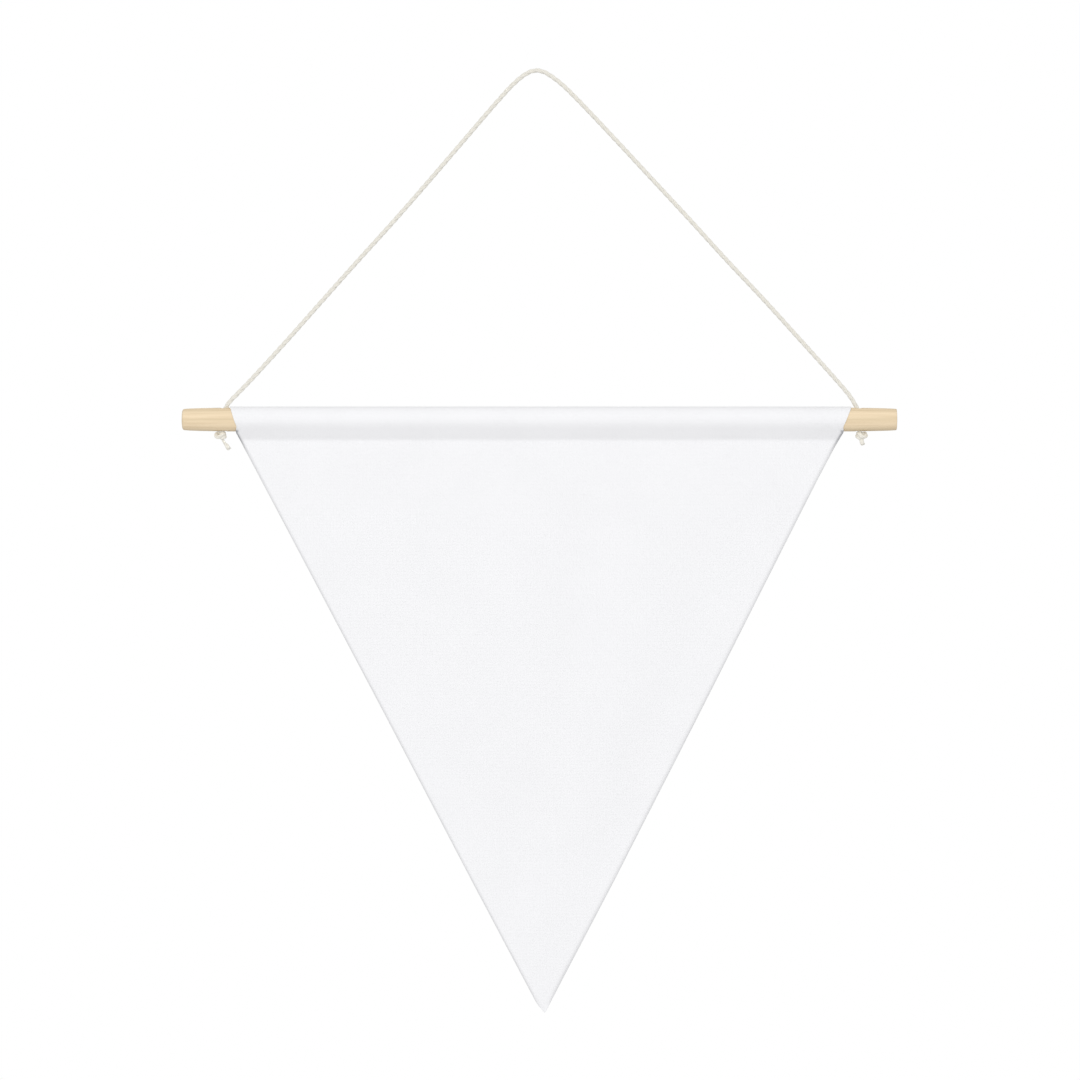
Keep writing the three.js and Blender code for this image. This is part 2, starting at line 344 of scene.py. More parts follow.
class PennantCloth(bpy.types.PropertyGroup):
    thickness: FloatProperty(
        name="Thickness", description="Thickness of the cloth", default=0.38 * MM, unit="LENGTH")
    clearance: FloatProperty(
        name="Clearance", description="Space between the dowel and its sleeve", default=0.1 * MM,
        unit="LENGTH")
    thread_spacing: FloatProperty(
        name="Thread spacing", description="Distance from thread to thread", default=0.6 * MM,
        unit="LENGTH")
    colour: FloatVectorProperty(
        name="Colour", description="Bleached white cloth", subtype="COLOR", default=linear("F8F8FA"))
    # The colour of the painted shade along the turned edges and in the crook under the dowel.
    shade_colour: FloatVectorProperty(
        name="Shade colour", description="The crook of the turned edges", subtype="COLOR",
        default=linear("8E9096"))


# Stage

SOFTBOX_SIZE = (1.8, 1.4)
SOFTBOX_PLACE = (-0.12, -2.3, 0.3)
FILL_PLACE = (0.12, 2.3, 0.1)
LIGHTS_AIM = (0, 0, -0.2)
FLOOR_HALF = 14
FLOOR_LEVEL = -2.2


def aim(thing, target):
    """Turns a camera or a light to look at a point."""
    thing.rotation_euler = (Vector(target) - thing.location).to_track_quat("-Z", "Y").to_euler()


def make_camera(settings):
    """A level camera in front, at the photo's angle."""
    data = bpy.data.cameras.new("camera")
    data.sensor_width = 36
    data.lens = data.sensor_width * settings.distance / settings.frame_width
    data.clip_end = 50
    camera = new_object("camera", data)
    target = Vector((settings.aim_x, 0, -settings.aim_drop))
    camera.location = target - Vector((0, settings.distance, 0))
    aim(camera, target)
    bpy.context.scene.camera = camera


def make_room(strength):
    """A white room: the camera sees it as pure white, and it lights the object a little less."""
    world = bpy.data.worlds.new("white_room")
    world.use_nodes = True
    tree = world.node_tree
    tree.nodes.clear()
    path = add_node(tree, "ShaderNodeLightPath")
    seen = add_node(tree, "ShaderNodeBackground", {"Color": (1, 1, 1, 1), "Strength": 1.0})
    lit = add_node(tree, "ShaderNodeBackground", {"Color": (1, 1, 1, 1), "Strength": strength})
    both = add_node(tree, "ShaderNodeMixShader", (path.outputs["Is Camera Ray"], lit, seen))
    add_node(tree, "ShaderNodeOutputWorld", {"Surface": both})
    bpy.context.scene.world = world


def make_softbox(name, power, place):
    """A large soft light that the camera doesn't see."""
    data = bpy.data.lights.new(name, "AREA")
    data.shape = "RECTANGLE"
    data.size, data.size_y = SOFTBOX_SIZE
    data.energy = power
    light = new_object(name, data)
    light.location = place
    light.visible_camera = False
    aim(light, LIGHTS_AIM)


def add_floor_paint(tree):
    """A studio floor painted pale grey: matt, with no shine."""
    return add_node(tree, "ShaderNodeBsdfPrincipled", {
        "Base Color": (*linear("E2E2E2"), 1), "Roughness": 0.9})


def make_floor():
    """A floor well below the hung flag. It stops before a level view could see it."""
    corners = [(x * FLOOR_HALF, y * FLOOR_HALF, FLOOR_LEVEL)
               for x, y in ((-1, -1), (1, -1), (1, 1), (-1, 1))]
    floor = new_object("floor", new_mesh("floor", corners, [(0, 1, 2, 3)], smooth=False))
    floor.data.materials.append(new_material("matt_floor", add_floor_paint))


# Cord

# Shares of the cord's diameter: the radius of one strand, and how far its middle is from the axis.
STRAND_SHARE = 0.3
TWIST_SHARE = 0.2
CORD_STRAND_SIDES = 12
KNOT_STRAND_SIDES = 20
# The curve's steps from one point of the route to the next, and the even steps that follow.
CORD_SPAN_STEPS = 24
KNOT_SPAN_STEPS = 16
CORD_STEP = 0.6 * MM
KNOT_STEP = 0.16 * MM
# Steps of the cord inside each hole that the start of a knot sheathes.
HOLE_STEPS = 2
# Where the last step of a tail is cut into closer ones.
TIP_SHARES = (0.3, 0.55, 0.75, 0.88, 0.96)

# A knot's thickness as a share of the cord's: where it sheathes the cord, and pulled tight. Then
# the lengths from its start over which it tightens, the length over which the tail's neck thins,
# and the lengths from the cut end over which it swells again to the cord's own thickness.
SHEATH = 1.03
TIGHT = 0.95
TIGHTENING = (1.2 * MM, 2.2 * MM)
THINNING = 1.2 * MM
SWELLING = (3.4 * MM, 1.2 * MM)
# The least that is left of a strand's thickness, squared, where its end is rounded off.
STRAND_END = 0.02

# The share of the colour that is left in the painted shade between the yarns. The knots' copy keeps more
# of it, as painted light for their brightly lit fronts, and the frayed fibres get almost no groove shade.
CORD_GROOVE = 0.8
KNOT_GROOVE = 0.97
FRAY_GROOVE = 1.0
# The yarns side by side round a strand, the length in which they go round, and the fuzz on them.
YARNS = 7
YARN_PITCH = 2.4 * MM
FUZZ_SIZE = 1.1 * MM


def add_cotton(tree, settings, groove):
    """Undyed cotton, spun into yarns and twisted: matt, creamy, with fine lines along each strand.
    The lines are painted shade in the grooves between the yarns, mixed with a random fuzz of tone. Groove
    is the share of the colour that is left in them."""
    uv = add_node(tree, "ShaderNodeUVMap", uv_map="strand")
    split = add_node(tree, "ShaderNodeSeparateXYZ", (uv,))
    along = add_node(tree, "ShaderNodeMath", (split.outputs["Y"], 2 * pi / YARN_PITCH),
        operation="MULTIPLY")
    turns = add_node(tree, "ShaderNodeMath", (split.outputs["X"], 2 * pi * YARNS, along),
        operation="MULTIPLY_ADD")
    wave = add_node(tree, "ShaderNodeMath", (turns,), operation="SINE")
    ridges = add_node(tree, "ShaderNodeMath", (wave, 0.5, 0.5), operation="MULTIPLY_ADD")
    place = add_node(tree, "ShaderNodeTexCoord").outputs["Object"]
    fuzz = add_node(tree, "ShaderNodeTexNoise", {
        "Vector": place, "Scale": 1 / FUZZ_SIZE, "Detail": 3.0})
    mixed = add_node(tree, "ShaderNodeMath", (fuzz, 0.6, ridges), operation="MULTIPLY_ADD")
    shade = add_node(tree, "ShaderNodeMath", (mixed, 0.5, 0.1), operation="MULTIPLY_ADD")
    # The colour of the painted shade between the yarns.
    dark = [part * share for part, share in zip(settings.colour, (groove, groove - 0.01, groove - 0.03))]
    tone = add_node(tree, "ShaderNodeValToRGB", {"Fac": shade},
        stops=[(0.0, dark), (0.75, settings.colour)])
    bump = add_node(tree, "ShaderNodeBump", {"Height": mixed, "Strength": 0.7, "Distance": 0.1 * MM})
    return add_node(tree, "ShaderNodeBsdfPrincipled", {
        "Base Color": tone, "Roughness": 0.95, "Specular IOR Level": 0.2, "Sheen Weight": 0.15,
        "Sheen Roughness": 0.6, "Normal": bump})


def full_size(at):
    """The same thickness all along."""
    return 1.0


def rope_mesh(name, line, settings, strand_sides, start_turn=0.0, size_at=full_size,
              spread_at=full_size):
    """Strands twisted round a line. size_at and spread_at give the thickness of the strands and of
    the twist at a length from the start."""
    strand_radius = settings.diameter * STRAND_SHARE
    twist_radius = settings.diameter * TWIST_SHARE
    line_frames = frames_along(line)
    lengths = lengths_along(line)
    points, faces, uvs = [], [], []
    for strand in range(settings.strands):
        first = len(points)
        for middle, (side, up), length in zip(line, line_frames, lengths):
            turn = start_turn + 2 * pi * (length / settings.lay + strand / settings.strands)
            out = side * cos(turn) + up * sin(turn)
            centre = middle + out * twist_radius * spread_at(length)
            for k in range(strand_sides):
                angle = turn + 2 * pi * k / strand_sides
                ray = side * cos(angle) + up * sin(angle)
                points.append(centre + ray * strand_radius * size_at(length))
                uvs.append((k / strand_sides, length))
        faces += tube_faces(first, len(line), strand_sides)
    mesh = new_mesh(name, points, faces)
    layer = mesh.uv_layers.new(name="strand")
    for polygon in mesh.polygons:
        row = [uvs[v] for v in polygon.vertices]
        wraps = max(u for u, _ in row) - min(u for u, _ in row) > 0.5
        for loop, (u, v) in zip(polygon.loop_indices, row):
            layer.data[loop].uv = (u + 1 if wraps and u < 0.5 else u, v)
    return mesh


def cord_line(spacing):
    """The cord's middle line from hole to hole over the hanging point, and its length."""
    points = [DOWEL_MIDDLE + Vector((x, 0, z)) * MM for x, z in CORD_ROUTE]
    return even_steps(catmull(points, CORD_SPAN_STEPS), spacing)


def knot_line(cord_end, middle, mirror, tail):
    """From the cord's last points through the knot to the tip of the tail, with closer steps at
    the tip, and its length."""
    route = [(mirror * x, y, z) for x, y, z in KNOT_ROUTE] + list(tail)
    points = cord_end + [middle + Vector(p) * MM for p in route]
    line, length = even_steps(catmull(points, KNOT_SPAN_STEPS), KNOT_STEP)
    tip = [line[-2].lerp(line[-1], share) for share in TIP_SHARES]
    return line[:-1] + tip + line[-1:], length


# The frayed end: how far inside the tail's end its fibres start, the width and the corners of the
# disc that they start from, and the steps of the tail that set its direction. Then the fibres
# themselves: real ones are 0.02 mm thick, which is too fine to show.
FRAY_DEPTH = 0.7 * MM
FRAY_RADIUS = 0.8 * MM
FRAY_CORNERS = 12
FRAY_STEPS = 8
FIBRE_DENSITY = 4.0e7
FIBRE_RADIUS = 0.035 * MM
FIBRE_BOW = 0.15 * MM
FIBRE_SIZES = (0.6, 1.1)


def tuft_disc(tip, direction):
    """The cut face of a cord end, as a small disc that looks along the cord."""
    side = Vector((0, 1, 0))
    up = direction.cross(side)
    turns = [2 * pi * k / FRAY_CORNERS for k in range(FRAY_CORNERS)]
    rim = [tip + (side * cos(t) + up * sin(t)) * FRAY_RADIUS for t in turns]
    disc = new_mesh("cut_end", rim, [tuple(range(FRAY_CORNERS))], smooth=False)
    if disc.polygons[0].normal.dot(direction) < 0:
        disc.flip_normals()
    return disc


def add_fibres(tree, given):
    """Nodes that fan fine bowed fibres out from a disc, all about its own up direction."""
    roots = add_node(tree, "GeometryNodeDistributePointsOnFaces", {
        "Mesh": given["Geometry"], "Density": given["Fibres per square metre"],
        "Seed": given["Seed"]})
    reach = add_node(tree, "ShaderNodeCombineXYZ", {"Z": given["Fibre length"]})
    bow = add_node(tree, "ShaderNodeVectorMath", (reach, (0.0, 0.0, 0.5), (FIBRE_BOW, 0.0, 0.0)),
        operation="MULTIPLY_ADD")
    fibre = add_node(tree, "GeometryNodeCurveQuadraticBezier", {
        "Resolution": 4, "Start": (0.0, 0.0, 0.0), "Middle": bow, "End": reach})
    ring = add_node(tree, "GeometryNodeCurvePrimitiveCircle", {
        "Resolution": 3, "Radius": given["Fibre radius"]})
    solid = add_node(tree, "GeometryNodeCurveToMesh", {
        "Curve": fibre, "Profile Curve": ring, "Fill Caps": True})
    lean = add_node(tree, "ShaderNodeCombineXYZ", {
        "X": given["Spread"], "Y": given["Spread"], "Z": pi})
    back = add_node(tree, "ShaderNodeVectorMath", {0: lean, "Scale": -1.0}, operation="SCALE")
    turn = add_node(tree, "FunctionNodeRandomValue", {0: back, 1: lean, "Seed": given["Seed"]},
        data_type="FLOAT_VECTOR")
    up = add_node(tree, "FunctionNodeRotateRotation", (roots.outputs["Rotation"], turn),
        rotation_space="LOCAL")
    size = add_node(tree, "FunctionNodeRandomValue", {
        2: FIBRE_SIZES[0], 3: FIBRE_SIZES[1], "Seed": given["Seed"]}, data_type="FLOAT")
    return add_node(tree, "GeometryNodeInstanceOnPoints", {
        "Points": roots, "Instance": solid, "Rotation": up, "Scale": size.outputs[1]})


def tie_knot(settings, cottons, side, cord_end, start_turn):
    """The knot under one hole with its tail, and the frayed fibres at the tail's cut end. It
    starts inside the hole, where it sheathes the cord's last steps."""
    knot = KNOTS[side]
    middle = DOWEL_MIDDLE + Vector((knot["x"] * MM, 0, -KNOT_DROP))
    line, length = knot_line(cord_end, middle, knot["mirror"], knot["tail"])
    tail_start = length - knot["tail_length"] * MM

    def spread_at(at):
        """Wider than the cord where it sheathes it, tight in the knot, thin at the tail's neck
        and full again at the cut end."""
        tightened = smooth(at, *TIGHTENING)
        thinned = smooth(at, tail_start - THINNING, tail_start)
        swollen = smooth(at, length - SWELLING[0], length - SWELLING[1])
        change = (TIGHT - SHEATH) * tightened + (knot["neck"] - TIGHT) * thinned
        return SHEATH + change + (1 - knot["neck"]) * swollen

    def size_at(at):
        """The same, with the strands' ends rounded off."""
        from_tip = min(1, (length - at) / (settings.diameter * STRAND_SHARE))
        return spread_at(at) * sqrt(max(STRAND_END, 1 - (1 - from_tip) ** 2))

    name = "overhand_knot_" + side
    mesh = rope_mesh(name, line, settings, KNOT_STRAND_SIDES, start_turn, size_at, spread_at)
    lump = new_piece(name, mesh, cottons[0])
    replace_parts(lump, "knot_" + side)
    direction = (line[-1] - line[-FRAY_STEPS]).normalized()
    disc = tuft_disc(line[-1] - direction * FRAY_DEPTH, direction)
    inputs = {
        "Fibres per square metre": FIBRE_DENSITY, "Fibre length": knot["fibre"] * MM,
        "Fibre radius": FIBRE_RADIUS, "Spread": knot["spread"], "Seed": knot["seed"],
    }
    name = "frayed_end_" + side
    mesh = grown_mesh(name, disc, add_fibres, inputs, cottons[1])
    return [lump, new_piece(name, mesh, cottons[1])]


# Dowel

# The sanded ends in mm: distance in from the end, and the radius there. The left end is eased more.
LEFT_END = [(0.0, 3.0), (0.1, 3.6), (0.25, 4.0), (0.5, 4.3), (0.9, 4.45), (3.0, 4.62), (8.0, 4.8)]
RIGHT_END = [(0.0, 4.3), (0.12, 4.42), (0.35, 4.5), (3.0, 4.65), (8.0, 4.8)]
FULL_FROM_END = 18 * MM
DOWEL_SIDES = 96

# The drilled holes: each one's place across, and the side to which the cord has worn its mouth.
HOLES = [(-132.6 * MM, 1), (134.15 * MM, -1)]
HOLE_RADIUS = 1.55 * MM
HOLE_SIDES = 40
DRILL_REACH = 7 * MM
MOUTH_START = 4.2 * MM
MOUTH_SPREAD = 0.3

# Where the tree's heart lay, behind and above the dowel's middle, so that its rings cross it, and
# how far they wander, in rings. The rings are the wood's grain, but the heart is placed so that darker
# rings fall near the top and bottom rims, which paints part of the rims' shade.
HEART = (0, 6 * MM, 39 * MM)
WANDER = 0.7
# The size of the wandering and of the wood's fibres, along the dowel and across it, and that of
# the pores. Within the two distances of END_LOOK from each end, the look turns to end grain.
WANDER_SIZE = (110 * MM, 3.8 * MM)
GRAIN_SIZE = (45 * MM, 0.9 * MM)
PORE_SIZE = 0.2 * MM
END_LOOK = (0.2 * MM, 0.05 * MM)
# Shares of the wood's colour, as stops: along its fibres, between its pores, and over a ring.
GRAIN_SHARES = [(0.3, (0.9, 0.88, 0.85)), (0.6, (1.0, 1.0, 1.0))]
PORE_SHARES = [(0.35, (0.8, 0.77, 0.72)), (0.6, (0.92, 0.9, 0.87))]
RING_SHARES = [(0.0, (0.86, 0.82, 0.76)), (0.3, (0.97, 0.96, 0.95)), (0.8, (1.0, 1.0, 1.0)),
               (1.0, (0.86, 0.82, 0.76))]


def add_wood(tree, settings):
    """Pale dowel wood, turned and sanded: growth rings cut lengthwise make long soft streaks. On
    the sawn end faces the rings show as arcs with fine dark pores, and the wood is darker."""
    place = add_node(tree, "ShaderNodeTexCoord").outputs["Object"]
    away = add_node(tree, "ShaderNodeVectorMath", (place, DOWEL_MIDDLE + Vector(HEART)),
        operation="SUBTRACT")
    flat = add_node(tree, "ShaderNodeVectorMath", (away, (0.0, 1.0, 1.0)), operation="MULTIPLY")
    radius = add_node(tree, "ShaderNodeVectorMath", (flat,), operation="LENGTH")
    ring = add_node(tree, "ShaderNodeMath", (radius.outputs["Value"], settings.ring_spacing),
        operation="DIVIDE")
    noises = []
    for (along, across), detail, roughness in ((WANDER_SIZE, 2.0, 0.5), (GRAIN_SIZE, 3.0, 0.6)):
        stretch = add_node(tree, "ShaderNodeMapping", {
            "Vector": place, "Scale": (1 / along, 1 / across, 1 / across)})
        noises.append(add_node(tree, "ShaderNodeTexNoise", {
            "Vector": stretch, "Scale": 1.0, "Detail": detail, "Roughness": roughness}))
    wandering, fibres = noises
    bent = add_node(tree, "ShaderNodeMath", (wandering, WANDER, ring), operation="MULTIPLY_ADD")
    share = add_node(tree, "ShaderNodeMath", (bent,), operation="FRACT")
    light, dark = settings.light, settings.dark
    mid = [(a + b) / 2 for a, b in zip(light, dark)]
    rings = add_node(tree, "ShaderNodeValToRGB", {"Fac": share},
        stops=[(0.0, dark), (0.12, mid), (0.5, light), (0.85, mid), (1.0, dark)])
    grain = add_node(tree, "ShaderNodeValToRGB", {"Fac": fibres}, stops=GRAIN_SHARES)
    pores = add_node(tree, "ShaderNodeTexNoise", {
        "Vector": place, "Scale": 1 / PORE_SIZE, "Detail": 1.0})
    pored = add_node(tree, "ShaderNodeValToRGB", {"Fac": pores}, stops=PORE_SHARES)
    arcs = add_node(tree, "ShaderNodeValToRGB", {"Fac": share}, stops=RING_SHARES)
    multiply = {"data_type": "RGBA", "blend_type": "MULTIPLY"}
    sawn = add_node(tree, "ShaderNodeMix", {0: 1.0, 6: pored, 7: arcs}, **multiply)
    split = add_node(tree, "ShaderNodeSeparateXYZ", (away,))
    from_middle = add_node(tree, "ShaderNodeMath", (split,), operation="ABSOLUTE")
    at_end = add_node(tree, "ShaderNodeMapRange", (
        from_middle, DOWEL_HALF - END_LOOK[0], DOWEL_HALF - END_LOOK[1]), interpolation_type="SMOOTHSTEP")
    cut = add_node(tree, "ShaderNodeMix", {0: at_end, 6: grain, 7: sawn.outputs[2]}, data_type="RGBA")
    wood = add_node(tree, "ShaderNodeMix", {0: 1.0, 6: rings, 7: cut.outputs[2]}, **multiply)
    bump = add_node(tree, "ShaderNodeBump", {"Height": fibres, "Strength": 0.2, "Distance": 0.06 * MM})
    return add_node(tree, "ShaderNodeBsdfPrincipled", {
        "Base Color": wood.outputs[2], "Roughness": 0.62, "Specular IOR Level": 0.3, "Normal": bump})


def turned_mesh(name, profile, sides, axis):
    """A closed solid turned about the X axis, 0, or the Z axis, 2, through the origin, from rows
    of place along it and radius."""
    main, across, up = [Matrix.Identity(3)[(axis + k) % 3] for k in range(3)]
    points = []
    for place, radius in profile:
        for k in range(sides):
            turn = 2 * pi * k / sides
            points.append(main * place + (across * cos(turn) + up * sin(turn)) * radius)
    return new_mesh(name, points, tube_faces(0, len(profile), sides))


def dowel_mesh():
    """The turned dowel about the origin, without its holes."""
    full = DOWEL_HALF - FULL_FROM_END
    left = [(inset * MM - DOWEL_HALF, radius * MM) for inset, radius in LEFT_END]
    right = [(DOWEL_HALF - inset * MM, radius * MM) for inset, radius in reversed(RIGHT_END)]
    middle = [(-full, DOWEL_RADIUS), (full, DOWEL_RADIUS)]
    return turned_mesh("dowel_wood", left + middle + right, DOWEL_SIDES, axis=0)


def drill_mesh(worn_side):
    """The drilled hole's shape. Its mouth widens only to the side to which the cord leans."""
    spread = (DRILL_REACH - MOUTH_START) * MOUTH_SPREAD
    rows = [(-DRILL_REACH, HOLE_RADIUS), (MOUTH_START, HOLE_RADIUS),
            (DRILL_REACH, HOLE_RADIUS + spread)]
    mesh = turned_mesh("drill", rows, HOLE_SIDES, axis=2)
    for vertex in mesh.vertices[-HOLE_SIDES:]:
        vertex.co.x += worn_side * spread
    return mesh


# Cloth

def outline_at(drop, in_front=True):
    """Where the side edges stand at a drop below the dowel's axis. Behind the dowel they run
    straight, without the small step where the sleeve ends in front."""
    rows = [(d * MM, left * MM, right * MM) for i, (d, left, right) in enumerate(OUTLINE)
            if in_front or i not in FRONT_ONLY]
    if drop <= rows[0][0]:
        return rows[0][1:]
    for above, below in zip(rows, rows[1:]):
        if drop <= below[0]:
            share = (drop - above[0]) / (below[0] - above[0])
            return tuple(a + share * (b - a) for a, b in zip(above[1:], below[1:]))
    return rows[-1][1:]


def bulge_at(x, drop):
    """How far the panel stands towards the viewer."""
    total = 0.0
    for start, lean, width, bulge in WAVES:
        away = (x - start * MM - lean * drop) / (width * MM)
        total += bulge * MM * exp(-away * away)
    return smooth(drop, *WAVE_DROPS) * total + TIP_CURL * smooth(drop, CURL_START, TIP_DROP)


# The sleeve from its side: how far below the seam's height its two layers part, and the steps of
# its arc. The hem's cut edge stands off the panel, and the hem lies on it from HEM_REST above.
CREASE_BELOW = 0.4 * MM
ARC_STEPS = 60
HEM_LIFT = 0.25 * MM
HEM_GAP = 0.05 * MM
HEM_REST = 3 * MM


def sleeve_line(settings):
    """The middle of the cloth as seen from its side, back and up from the dowel's axis."""
    half = settings.thickness / 2
    radius = DOWEL_RADIUS + settings.clearance + half
    crease = SEAM_DROP + CREASE_BELOW
    pinch = hypot(half, crease)
    start = acos(radius / pinch) + atan2(half, crease)
    arc = [start + (2 * pi - 2 * start) * i / ARC_STEPS for i in range(ARC_STEPS + 1)]
    loop = [Vector((radius * sin(turn), -radius * cos(turn))) for turn in arc]
    flap = [Vector((half + HEM_LIFT, -HEM_DROP)), Vector((half + HEM_GAP, HEM_REST - HEM_DROP))]
    front = [Vector((-half, -crease)), Vector((-half, -TIP_DROP))]
    return flap + [Vector((half, -crease))] + loop + front


def softened(line, spacing, passes):
    """The line in small even steps with its corners eased."""
    points, _ = even_steps(line, spacing)
    for _ in range(passes):
        inner = [(a + 2 * b + c) / 4 for a, b, c in zip(points, points[1:], points[2:])]
        points = [points[0], *inner, points[-1]]
    return points


# Where the rows and columns of the cloth's mesh stand. Lengths run from the hem's cut edge, up
# behind, round the dowel and down in front.
FINE_STEP = 0.15 * MM
EASING_PASSES = 24
FRONT_FROM = 36 * MM
PANEL_LENGTH = 45 * MM
PANEL_DROP = 17 * MM
# The rows' spacing: on the panel within a distance of the tip, then on the sleeve within a
# distance of the crease.
PANEL_ROWS = [(1 * MM, 0.15 * MM), (6 * MM, 0.5 * MM), (inf, 2.2 * MM)]
SLEEVE_ROWS = [(2 * MM, 0.3 * MM), (inf, 0.75 * MM)]
# The columns' distances from a side edge in mm, and how many there are between. Where the cloth is
# narrower than NARROW, the columns and the rolls shrink with its width.
EDGE_STEPS = [0.0, 0.2, 0.4, 0.6, 0.8, 1.0, 1.25, 1.5, 1.75, 2.1, 2.8, 4.0]
INNER_COLUMNS = 112
NARROW = 10 * MM

# The side edges roll back: the radius and the length of the left edge's roll, by how much the
# right edge's is larger, at the top and from there to the tip, and how far each one turns.
EDGE_ROLL = 1.3 * MM
ROLL_LENGTH = 2.0 * MM
RIGHT_ROLL = 1.1
RIGHT_ROLL_GAIN = 0.2
GAIN_DROPS = (95 * MM, 155 * MM)
TURN_SHARES = (1.0, 0.75)
# The drops over which the rolls start, and the widths of the cloth over which they end.
ROLL_DROPS = (3.8 * MM, 5.4 * MM)
ROLL_WIDTHS = (1 * MM, 8 * MM)
# How far the hem's side edges are tucked in, the drops over which that starts, and the depth and
# the waves per metre, across and down, of the panel's faint puckers.
HEM_INSET = 1.4 * MM
INSET_DROPS = (1 * MM, 9 * MM)
PUCKER = 0.06 * MM
PUCKER_WAVES = (70, 50)


def row_spacing(length, drop):
    """How far apart the rows stand: close at the crease and the tip, wide on the plain panel."""
    on_panel = length > PANEL_LENGTH and drop > PANEL_DROP
    away = TIP_DROP - drop if on_panel else abs(drop - SEAM_DROP)
    return next(step for reach, step in (PANEL_ROWS if on_panel else SLEEVE_ROWS) if away < reach)


def cloth_rows(settings):
    """The cloth's rows from the hem round the dowel to the tip, as (length so far, back, drop)."""
    fine = softened(sleeve_line(settings), FINE_STEP, EASING_PASSES)
    rows = [(0.0, fine[0].x, -fine[0].y)]
    length = 0.0
    for i in range(1, len(fine)):
        length += (fine[i] - fine[i - 1]).length
        drop = -fine[i].y
        if length - rows[-1][0] >= row_spacing(length, drop) or i == len(fine) - 1:
            rows.append((length, fine[i].x, drop))
    return rows


def column_places(width, shrink):
    """Distances from the left edge for each column, closer together along both edges."""
    left = [e * MM * shrink for e in EDGE_STEPS]
    inner = left[-1]
    span = width - 2 * inner
    middle = [inner + span * i / INNER_COLUMNS for i in range(1, INNER_COLUMNS)]
    return left + middle + [width - e for e in reversed(left)]


def rolled(edge, amount, size):
    """How a point this far from the edge moves: inwards along the cloth, and back. The third
    value is the sine of the angle to which it has turned."""
    travel = max(0.0, ROLL_LENGTH * size - edge)
    angle = travel / (EDGE_ROLL * size) * amount
    if angle < 1e-6:
        return 0.0, 0.0, 0.0
    radius = travel / angle
    return travel - radius * sin(angle), radius * (1 - cos(angle)), sin(angle)


def cloth_mesh(settings):
    """The cloth's middle surface, with its side edges rolled back below the sleeve."""
    rows = cloth_rows(settings)
    points, flat, shade = [], [], []
    for length, back, drop in rows:
        in_front = length > FRONT_FROM
        left, right = outline_at(drop, in_front)
        shrink = min(1.0, (right - left) / NARROW)
        roll = smooth(drop, *ROLL_DROPS) if in_front else 0.0
        roll *= smooth(right - left, *ROLL_WIDTHS)
        tuck = 0.0 if in_front else HEM_INSET * smooth(drop, *INSET_DROPS)
        sizes = (1.0, RIGHT_ROLL + RIGHT_ROLL_GAIN * smooth(drop, *GAIN_DROPS))
        slack = []
        for size, turn_share in zip(sizes, TURN_SHARES):
            gathered, _, turned = rolled(0.0, roll * turn_share, size)
            slack.append(gathered * shrink - turned * settings.thickness / 2)
        left, right = left + tuck - slack[0], right - tuck + slack[1]
        places = column_places(right - left, shrink)
        for place in places:
            x = left + place
            on_right = place > places[-1] / 2
            edge = places[-1] - place if on_right else place
            size = sizes[on_right]
            inwards, behind, _ = rolled(edge / shrink, roll * TURN_SHARES[on_right], size)
            x_now = x + (-inwards if on_right else inwards) * shrink
            y = back + behind * shrink
            if in_front:
                spot = Vector((x * PUCKER_WAVES[0], drop * PUCKER_WAVES[1], 3.0))
                y += PUCKER * noise.noise(spot) * roll - bulge_at(x_now, drop)
            points.append(DOWEL_MIDDLE + Vector((x_now, y, -drop)))
            flat.append((x, length))
            shade.append(edge_shade(edge / size, drop, on_right) if in_front else 0.0)
    columns = len(EDGE_STEPS) * 2 + INNER_COLUMNS - 1
    faces = []
    for i in range(len(rows) - 1):
        for k in range(columns - 1):
            a = i * columns + k
            faces.append((a, a + columns, a + columns + 1, a + 1))
    mesh = new_mesh("sheet", points, faces)
    layer = mesh.uv_layers.new(name="cloth")
    for loop in mesh.loops:
        layer.data[loop.index].uv = flat[loop.vertex_index]
    mesh.attributes.new("edge_shade", "FLOAT", "POINT").data.foreach_set("value", shade)
    return mesh


# How much painted shade greys the turned edges, left and right: near the top and lower down, and the
# drops in mm between which that changes. In the crook under the dowel, where the shadow falls, more shade
# is painted.
EDGE_PAINTED_SHADE = ((0.1, 0.05, 14, 32), (0.035, 0.01, 100, 170))
CROOK_PAINTED_SHADE = (0.7, 0.6)
# Where each painted shade fades out, as distances from the edge, and the crook's also as drops.
LINE_EDGE = (1.6 * MM, 2.2 * MM)
CROOK_EDGE = (0.85 * MM, 1.75 * MM)
CROOK_DROPS = (5.5 * MM, 16 * MM)
# The drops over which all of it starts, and the share that it loses over the last length.
GREY_DROPS = (4.0 * MM, 4.8 * MM)
TIP_FADE = 0.6
TIP_FADE_LENGTH = 5 * MM


def edge_shade(edge, drop, side):
    """How much painted shade greys the turned side edge: most in the crook under the dowel, where its
    shadow falls.
    """
    top, below, change_start, change_end = EDGE_PAINTED_SHADE[side]
    grey = top + (below - top) * smooth(drop, change_start * MM, change_end * MM)
    line = 1 - smooth(edge, *LINE_EDGE)
    crook = (1 - smooth(edge, *CROOK_EDGE)) * (1 - smooth(drop, *CROOK_DROPS))
    end = 1 - TIP_FADE * smooth(drop, TIP_DROP - TIP_FADE_LENGTH, TIP_DROP)
    return smooth(drop, *GREY_DROPS) * end * (grey * line + CROOK_PAINTED_SHADE[side] * crook)


# The size of the cloth's uneven patches, and their least share of its colour.
SLUB_SIZE = 22 * MM
SLUB_SHARE = 0.98


